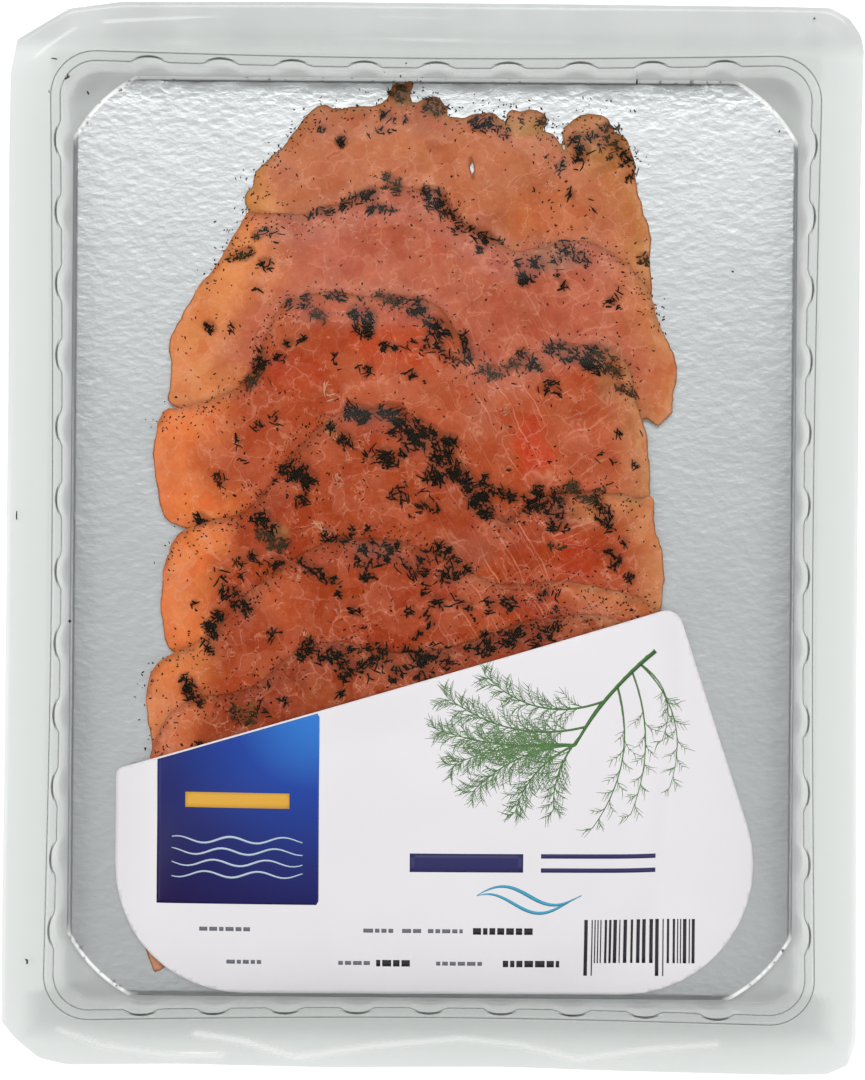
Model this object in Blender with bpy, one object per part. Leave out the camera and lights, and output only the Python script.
"""Sealed retail pack of sliced cured fish.

A clear tray with a fluted wall holds a silvered board. Seven thin slices lie on the board like roof
tiles, the first one at the +Y end and each next one partly on the one before. A clear film is sealed
on the tray's flange and drawn down over the contents, and a label sits on the film.

The origin is the centre of the tray's underside. +Z is up and +Y runs along the pack. Metres.
"""

import math

import bmesh
import bpy
import numpy as np

# Tray
CAVITY_WIDTH = 0.1715
CAVITY_LENGTH = 0.2155
CAVITY_RADIUS = 0.010
FLANGE_TOP = 0.0120
SHEET = 0.0005
STEP_DROP = 0.0009
STEP_RUN = 0.0005
LEDGE_INSET = 0.0022
FOOT_INSET = 0.00285
MOUTH_BOW = 0.0011
FOOT_BOW = 0.0006
FLUTE_PITCH = 0.016
FLUTE_CHORD = 0.0078
FLUTE_DEPTH = 0.0012
FLUTES_ACROSS = 9
FLUTES_ALONG = 12
# Where the arc of a flute has its points, as shares of half its chord
FLUTE_SHARES = (-1.0, -0.56, 0.0, 0.56, 1.0)
SIDE_STEPS = 6
CORNER_STEPS = 5

# The flange is die cut a little out of square: its trimmed edge, anticlockwise from the +X side
FLANGE_EDGE = (
    (0.0950, -0.1020), (0.0945, -0.0310), (0.0945, 0.0310), (0.0945, 0.0850), (0.0950, 0.1090),
    (0.0943, 0.1125), (0.0917, 0.1162), (0.0876, 0.1185), (0.0762, 0.1187), (0.0229, 0.1189),
    (-0.0304, 0.1189), (-0.0702, 0.1186), (-0.0817, 0.1170), (-0.0932, 0.1100), (-0.0946, 0.1026),
    (-0.0948, 0.0832), (-0.0946, 0.0299), (-0.0947, -0.0412), (-0.0950, -0.0812), (-0.0950, -0.1081),
    (-0.0919, -0.1119), (-0.0865, -0.1163), (-0.0803, -0.1177), (-0.0552, -0.1173),
    (-0.0240, -0.1178), (0.0160, -0.1174), (0.0426, -0.1181), (0.0782, -0.1187), (0.0886, -0.1185),
    (0.0932, -0.1165), (0.0950, -0.1114),
)

# Board
BOARD_WIDTH = 0.1636
BOARD_LENGTH = 0.2076
BOARD_THICKNESS = 0.0006
BOARD_CUT = 0.0139
BOARD_CUT_RISE = 0.0015
BOARD_CUT_STEPS = 6

# Slices
GAP = 0.0003
SLICE_THICKNESS = 0.0022
RIM_SHARE = 0.45
LOWER_SHARE = 0.60
LOWER_RUN = 0.013
SIDE_SHARE = 0.45
STACK_HALF_WIDTH = 0.058
STACK_CENTRE = -0.006
LOWER_PITCH = 0.0215
FIRST_LOWER_EDGE = 0.0320
BLEND = 0.5
END_POWER = 3.2
RIM_POINTS = 36
RINGS = (1.0, 0.93, 0.62, 0.30)
STATIONS = (-0.9, -0.6, -0.3, 0.0, 0.3, 0.6, 0.9)
# Each slice: its left tip, its right tip and how far its upper edge reaches at the STATIONS
SLICES = (
    ((-0.0435, 0.070), (0.0490, 0.066), (0.0880, 0.0975, 0.0980, 0.0953, 0.0950, 0.0955, 0.0920)),
    ((-0.0595, 0.036), (0.0544, 0.038), (0.0610, 0.0734, 0.0753, 0.0780, 0.0663, 0.0680, 0.0617)),
    ((-0.0623, 0.014), (0.0495, 0.014), (0.0347, 0.0418, 0.0546, 0.0532, 0.0407, 0.0453, 0.0436)),
    ((-0.0606, -0.013), (0.0520, -0.011), (0.0070, 0.0106, 0.0278, 0.0265, 0.0061, 0.0115, 0.0193)),
    ((-0.0640, -0.038), (0.0520, -0.032),
     (-0.0202, -0.0107, -0.0008, -0.0008, -0.0090, -0.0074, -0.0039)),
    ((-0.0630, -0.062), (0.0500, -0.052),
     (-0.0339, -0.0326, -0.0240, -0.0253, -0.0220, -0.0151, -0.0047)),
    ((-0.0652, -0.0905), (0.0460, -0.080),
     (-0.0620, -0.0580, -0.0470, -0.0460, -0.0440, -0.0384, -0.0307)),
)

# Film and label
FILM = 0.0002
FILM_CLEARANCE = 0.0004
FILM_RINGS = 8
FILM_REACH = 0.0115
FILM_BEND = 0.0001
REACH_STEPS = 7
LABEL_THICKNESS = 0.0002
# Corners of the label's outline with the radius of each, anticlockwise from the upper left
LABEL_CORNERS = (
    ((-0.0710, -0.0526), 0.0020),
    ((-0.0710, -0.1030), 0.0290),
    ((0.0842, -0.1026), 0.0293),
    ((0.0553, -0.0149), 0.0040),
)
LABEL_ARC_STEPS = 7
KNIFE_TOP = 0.020


def clear_scene():
    for existing in list(bpy.data.objects):
        bpy.data.objects.remove(existing, do_unlink=True)


def material(name, colour, roughness, metallic=0.0, alpha=1.0):
    made = bpy.data.materials.new(name)
    made.use_nodes = True
    shader = made.node_tree.nodes["Principled BSDF"]
    shader.inputs["Base Color"].default_value = (*colour, 1.0)
    shader.inputs["Roughness"].default_value = roughness
    shader.inputs["Metallic"].default_value = metallic
    shader.inputs["Alpha"].default_value = alpha
    return made


class Surface:
    """Collects vertices and faces, then makes one closed object with its faces pointing out."""

    def __init__(self):
        self.points = []
        self.faces = []

    def loop(self, points):
        first = len(self.points)
        self.points.extend(tuple(map(float, p)) for p in points)
        return list(range(first, len(self.points)))

    def band(self, outer, inner):
        """Pairs of triangles between two loops with the same number of points."""
        for i in range(len(outer)):
            j = (i + 1) % len(outer)
            self.faces.append((outer[i], outer[j], inner[j]))
            self.faces.append((outer[i], inner[j], inner[i]))

    def fan(self, loop, centre):
        for i in range(len(loop)):
            self.faces.append((loop[i], loop[(i + 1) % len(loop)], centre))

    def zip(self, outer, inner):
        """Triangles between two loops round the origin, matched by their angle about it."""
        outer, inner = self.from_the_right(outer), self.from_the_right(inner)
        i = j = 0
        while i < len(outer) or j < len(inner):
            next_outer = self.angle(outer, i + 1)
            next_inner = self.angle(inner, j + 1)
            a, b = outer[i % len(outer)], inner[j % len(inner)]
            if j >= len(inner) or (i < len(outer) and next_outer <= next_inner):
                self.faces.append((a, outer[(i + 1) % len(outer)], b))
                i += 1
            else:
                self.faces.append((a, inner[(j + 1) % len(inner)], b))
                j += 1

    def from_the_right(self, loop):
        """The loop, starting at its point with the smallest angle about the origin."""
        angles = [self.angle(loop, i) for i in range(len(loop))]
        start = angles.index(min(angles))
        return loop[start:] + loop[:start]

    def angle(self, loop, i):
        x, y, _ = self.points[loop[i % len(loop)]]
        turn = math.atan2(y, x) % (2 * math.pi)
        return turn + (2 * math.pi if i >= len(loop) else 0.0)

    def make(self, name, finish):
        mesh = bpy.data.meshes.new(name)
        mesh.from_pydata(self.points, [], self.faces)
        shape = bmesh.new()
        shape.from_mesh(mesh)
        bmesh.ops.recalc_face_normals(shape, faces=shape.faces)
        if shape.calc_volume(signed=True) < 0:
            bmesh.ops.reverse_faces(shape, faces=shape.faces)
        shape.to_mesh(mesh)
        shape.free()
        mesh.materials.append(finish)
        made = bpy.data.objects.new(name, mesh)
        bpy.context.scene.collection.objects.link(made)
        return made


def cavity_point(side, along, inset, bow, bulge=0.0):
    """A point on the cavity's outline, moved inwards by inset.

    side is 0 to 3 from +X anticlockwise, and along is the distance from the middle of that side.
    """
    half = (CAVITY_WIDTH / 2, CAVITY_LENGTH / 2)
    depth, reach = (half[0], half[1]) if side % 2 == 0 else (half[1], half[0])
    straight = reach - CAVITY_RADIUS
    sunk = bow * math.cos(math.pi / 2 * along / straight) if abs(along) < straight else 0.0
    out = depth - inset - sunk + bulge
    turn = side * math.pi / 2
    return (out * math.cos(turn) - along * math.sin(turn), out * math.sin(turn) + along * math.cos(turn))


def corner_points(side, inset):
    """The round corner after a side, without its two ends."""
    half = (CAVITY_WIDTH / 2 - CAVITY_RADIUS, CAVITY_LENGTH / 2 - CAVITY_RADIUS)
    centre = (half[0] * (1, -1, -1, 1)[side], half[1] * (1, 1, -1, -1)[side])
    radius = CAVITY_RADIUS - inset
    points = []
    for step in range(1, CORNER_STEPS):
        turn = (side + step / CORNER_STEPS) * math.pi / 2
        points.append((centre[0] + radius * math.cos(turn), centre[1] + radius * math.sin(turn)))
    return points


def plain_loop(inset, bow, z):
    """The cavity's outline without flutes."""
    points = []
    for side in range(4):
        reach = (CAVITY_LENGTH, CAVITY_WIDTH)[side % 2] / 2 - CAVITY_RADIUS
        for step in range(SIDE_STEPS + 1):
            along = reach * (2 * step / SIDE_STEPS - 1)
            points.append(cavity_point(side, along, inset, bow))
        points.extend(corner_points(side, inset))
    return [(x, y, z) for x, y in points]


def fluted_loop(inset, bow, z):
    """The cavity's outline with a shallow arc bulging outwards at each flute."""
    radius = ((FLUTE_CHORD / 2) ** 2 + FLUTE_DEPTH**2) / (2 * FLUTE_DEPTH)
    points = []
    for side in range(4):
        count = (FLUTES_ALONG, FLUTES_ACROSS)[side % 2]
        reach = (CAVITY_LENGTH, CAVITY_WIDTH)[side % 2] / 2 - CAVITY_RADIUS
        points.append(cavity_point(side, -reach, inset, bow))
        for flute in range(count):
            middle = (flute - (count - 1) / 2) * FLUTE_PITCH
            for share in FLUTE_SHARES:
                aside = share * FLUTE_CHORD / 2
                bulge = math.sqrt(radius**2 - aside**2) - (radius - FLUTE_DEPTH)
                points.append(cavity_point(side, middle + aside, inset, bow, bulge))
        points.append(cavity_point(side, reach, inset, bow))
        points.extend(corner_points(side, inset))
    return [(x, y, z) for x, y in points]


def flange_loop(z):
    return [(x, y, z) for x, y in FLANGE_EDGE]


def make_tray():
    clear = material("clear_plastic", (0.80, 0.83, 0.81), 0.12, alpha=0.35)
    ledge = FLANGE_TOP - STEP_DROP
    tray = Surface()
    upper_edge = tray.loop(flange_loop(FLANGE_TOP))
    mouth = tray.loop(plain_loop(0.0, MOUTH_BOW, FLANGE_TOP))
    step_foot = tray.loop(plain_loop(STEP_RUN, MOUTH_BOW, ledge))
    wall_top = tray.loop(fluted_loop(LEDGE_INSET, MOUTH_BOW, ledge))
    wall_foot = tray.loop(fluted_loop(FOOT_INSET, FOOT_BOW, SHEET))
    lower_edge = tray.loop(flange_loop(FLANGE_TOP - SHEET))
    under_mouth = tray.loop(plain_loop(-SHEET, MOUTH_BOW, FLANGE_TOP - SHEET))
    under_step = tray.loop(plain_loop(STEP_RUN - SHEET, MOUTH_BOW, ledge - SHEET))
    outer_top = tray.loop(fluted_loop(LEDGE_INSET - SHEET, MOUTH_BOW, ledge - SHEET))
    outer_foot = tray.loop(fluted_loop(FOOT_INSET - SHEET, FOOT_BOW, 0.0))
    tray.zip(upper_edge, mouth)
    tray.band(mouth, step_foot)
    tray.zip(step_foot, wall_top)
    tray.band(wall_top, wall_foot)
    tray.faces.append(tuple(wall_foot))
    tray.band(lower_edge, upper_edge)
    tray.zip(lower_edge, under_mouth)
    tray.band(under_mouth, under_step)
    tray.zip(under_step, outer_top)
    tray.band(outer_top, outer_foot)
    tray.faces.append(tuple(outer_foot))
    return tray.make("tray", clear)


def board_outline():
    """A rectangle whose corners are cut by slightly bowed arcs."""
    half_cut = BOARD_CUT / math.sqrt(2)
    radius = (half_cut**2 + BOARD_CUT_RISE**2) / (2 * BOARD_CUT_RISE)
    sweep = math.asin(half_cut / radius)
    points = []
    for corner in range(4):
        across = (1, -1, -1, 1)[corner]
        ahead = (1, 1, -1, -1)[corner]
        middle = math.pi / 4 + corner * math.pi / 2
        back = radius - BOARD_CUT_RISE
        chord_x = across * (BOARD_WIDTH - BOARD_CUT) / 2
        chord_y = ahead * (BOARD_LENGTH - BOARD_CUT) / 2
        for step in range(BOARD_CUT_STEPS + 1):
            turn = middle + sweep * (2 * step / BOARD_CUT_STEPS - 1)
            x = chord_x - back * math.cos(middle) + radius * math.cos(turn)
            y = chord_y - back * math.sin(middle) + radius * math.sin(turn)
            points.append((x, y))
    return points


def make_board():
    silver = material("silvered_board", (0.72, 0.73, 0.75), 0.35, metallic=0.8)
    base = SHEET + GAP
    board = Surface()
    below = board.loop([(x, y, base) for x, y in board_outline()])
    above = board.loop([(x, y, base + BOARD_THICKNESS) for x, y in board_outline()])
    board.band(below, above)
    board.faces.append(tuple(below))
    board.faces.append(tuple(above))
    return board.make("board", silver)


def stack_base():
    return SHEET + GAP + BOARD_THICKNESS + GAP


def smooth_step(value):
    value = np.clip(value, 0.0, 1.0)
    return value * value * (3 - 2 * value)


def smooth_least(a, b, width):
    """The smaller of a and b, rounded off where they are within width of each other."""
    near = np.maximum(width - np.abs(a - b), 0.0)
    return np.minimum(a, b) - near * near / (4 * width)


def layer(x):
    """A slice's thickness, which falls off towards both ends of the stack."""
    aside = np.clip((x - STACK_CENTRE) / STACK_HALF_WIDTH, -1.0, 1.0)
    return SLICE_THICKNESS * (1 - (1 - SIDE_SHARE) * aside * aside)


def lower_edge_of(index):
    return FIRST_LOWER_EDGE - LOWER_PITCH * index


def layers_under(index, y):
    """How many slices lie under slice number index at y, which rises evenly from its lower edge."""
    if index == 0:
        return np.zeros_like(np.asarray(y, dtype=float))
    steps = (y - lower_edge_of(index)) / LOWER_PITCH
    return smooth_least(np.full_like(steps, float(index)), np.maximum(steps, 0.0), BLEND)


def underside(index, x, y):
    counted = np.maximum(layers_under(index, y), 0.0)
    return stack_base() + (layer(x) + GAP) * counted


def thickness(index, x, y):
    rise = smooth_step((y - lower_edge_of(index)) / LOWER_RUN)
    return layer(x) * (LOWER_SHARE + (1 - LOWER_SHARE) * rise)


def slice_frame(index, across):
    """The middle line of a slice and the reach of its upper and lower edges, at across from -1 to 1."""
    left, right, crest = SLICES[index]
    middle = left[1] + (right[1] - left[1]) * (across + 1) / 2
    upper = np.interp(across, STATIONS, crest) - middle
    return middle, upper, middle - lower_edge_of(index)


def slice_point(index, across, along):
    """A point of the slice, from across and along, which lie in a rounded square of half width 1."""
    left, right, _ = SLICES[index]
    x = left[0] + (right[0] - left[0]) * (across + 1) / 2
    middle, upper, lower = slice_frame(index, across)
    return x, middle + along * np.where(along > 0, upper, lower)


def inside_slice(index, x, y):
    left, right, _ = SLICES[index]
    across = 2 * (x - left[0]) / (right[0] - left[0]) - 1
    middle, upper, lower = slice_frame(index, across)
    along = (y - middle) / np.where(y > middle, upper, lower)
    return np.abs(across) ** END_POWER + np.abs(along) ** END_POWER <= 1


def make_slice(index):
    flesh = material(f"fish_{index + 1}", (0.78, 0.22, 0.10), 0.32)
    turn = np.arange(RIM_POINTS) * 2 * math.pi / RIM_POINTS
    power = 2 / END_POWER
    rim_across = np.sign(np.cos(turn)) * np.abs(np.cos(turn)) ** power
    rim_along = np.sign(np.sin(turn)) * np.abs(np.sin(turn)) ** power
    piece = Surface()
    sides = []
    for upper_side in (True, False):
        loops = []
        for share in RINGS:
            x, y = slice_point(index, share * rim_across, share * rim_along)
            z = underside(index, x, y)
            if upper_side:
                z = z + thickness(index, x, y) * (RIM_SHARE if share == 1.0 else 1.0)
            loops.append(piece.loop(np.column_stack([x, y, z])))
        x, y = slice_point(index, np.zeros(1), np.zeros(1))
        z = underside(index, x, y) + (thickness(index, x, y) if upper_side else 0.0)
        centre = piece.loop(np.column_stack([x, y, z]))[0]
        for outer, inner in zip(loops, loops[1:]):
            piece.band(outer, inner)
        piece.fan(loops[-1], centre)
        sides.append(loops[0])
    piece.band(sides[0], sides[1])
    return piece.make(f"slice_{index + 1}", flesh)


def contents_top(x, y):
    """Height of the board or of the topmost slice at each point."""
    top = np.full(np.shape(x), SHEET + GAP + BOARD_THICKNESS)
    for index in range(len(SLICES)):
        covered = inside_slice(index, x, y)
        surface = underside(index, x, y) + thickness(index, x, y)
        top = np.where(covered, np.maximum(top, surface), top)
    return top


def highest_near(x, y):
    """The greatest height of the contents within FILM_REACH of a point."""
    offsets = np.linspace(-FILM_REACH, FILM_REACH, 2 * REACH_STEPS + 1)
    across, along = np.meshgrid(offsets, offsets)
    return float(contents_top(x + across, y + along).max())


def film_loops(raise_by, shrink_by):
    """The film's loops from the flange's edge to the middle, raised and moved inwards by a little."""
    ledge = FLANGE_TOP - STEP_DROP
    laid = GAP + raise_by
    inset = FILM_CLEARANCE + shrink_by
    loops = [
        plain_loop(inset, MOUTH_BOW, FLANGE_TOP + laid),
        plain_loop(inset + STEP_RUN, MOUTH_BOW, ledge + laid),
        plain_loop(inset + LEDGE_INSET - FILM_BEND, MOUTH_BOW, ledge + laid),
    ]
    foot = plain_loop(inset + FOOT_INSET, MOUTH_BOW, 0.0)
    for ring in range(FILM_RINGS):
        share = 1 - ring / FILM_RINGS
        loops.append([(x * share, y * share, highest_near(x * share, y * share) + laid) for x, y, _ in foot])
    return loops


def film_side(sheet, raise_by, shrink_by):
    """Adds one side of the film inside the flange and returns its outermost loop."""
    loops = [sheet.loop(points) for points in film_loops(raise_by, shrink_by)]
    middle = sheet.loop([(0.0, 0.0, highest_near(0.0, 0.0) + GAP + raise_by)])[0]
    for outer, inner in zip(loops, loops[1:]):
        sheet.band(outer, inner)
    sheet.fan(loops[-1], middle)
    return loops[0]


def make_film():
    clear = material("clear_film", (0.95, 0.96, 0.96), 0.10, alpha=0.20)
    film = Surface()
    edges = []
    for raise_by, shrink_by in ((0.0, 0.0), (FILM, FILM)):
        edge = film.loop(flange_loop(FLANGE_TOP + GAP + raise_by))
        film.zip(edge, film_side(film, raise_by, shrink_by))
        edges.append(edge)
    film.band(edges[0], edges[1])
    return film.make("film", clear)


def label_outline():
    """The label's corners, each rounded with its own radius."""
    corners = [np.array(corner) for corner, _ in LABEL_CORNERS]
    points = []
    for i, (_, radius) in enumerate(LABEL_CORNERS):
        here, before, after = corners[i], corners[i - 1], corners[(i + 1) % len(corners)]
        back = (before - here) / np.linalg.norm(before - here)
        ahead = (after - here) / np.linalg.norm(after - here)
        half_angle = math.acos(float(back @ ahead)) / 2
        bisector = (back + ahead) / np.linalg.norm(back + ahead)
        centre = here + bisector * radius / math.sin(half_angle)
        first = here + back * radius / math.tan(half_angle) - centre
        last = here + ahead * radius / math.tan(half_angle) - centre
        start = math.atan2(first[1], first[0])
        sweep = (math.atan2(last[1], last[0]) - start + math.pi) % (2 * math.pi) - math.pi
        for step in range(LABEL_ARC_STEPS + 1):
            turn = start + sweep * step / LABEL_ARC_STEPS
            points.append(centre + radius * np.array([math.cos(turn), math.sin(turn)]))
    return points


def make_label():
    """A sheet that follows the film, cut to the label's outline."""
    paper = material("label_paper", (0.86, 0.86, 0.87), 0.45)
    sheet = Surface()
    base = FILM + GAP
    lower = film_side(sheet, base, FILM)
    upper = film_side(sheet, base + LABEL_THICKNESS, FILM)
    sheet.band(lower, upper)
    label = sheet.make("label", paper)
    cutter = Surface()
    below = cutter.loop([(x, y, 0.0) for x, y in label_outline()])
    above = cutter.loop([(x, y, KNIFE_TOP) for x, y in label_outline()])
    cutter.band(below, above)
    cutter.faces.append(tuple(below))
    cutter.faces.append(tuple(above))
    knife = cutter.make("label_knife", paper)
    knife.hide_render = True
    knife.display_type = "WIRE"
    cut = label.modifiers.new("outline", "BOOLEAN")
    cut.operation = "INTERSECT"
    cut.object = knife
    return label


def main():
    clear_scene()
    make_tray()
    make_board()
    for index in range(len(SLICES)):
        make_slice(index)
    make_film()
    make_label()


main()
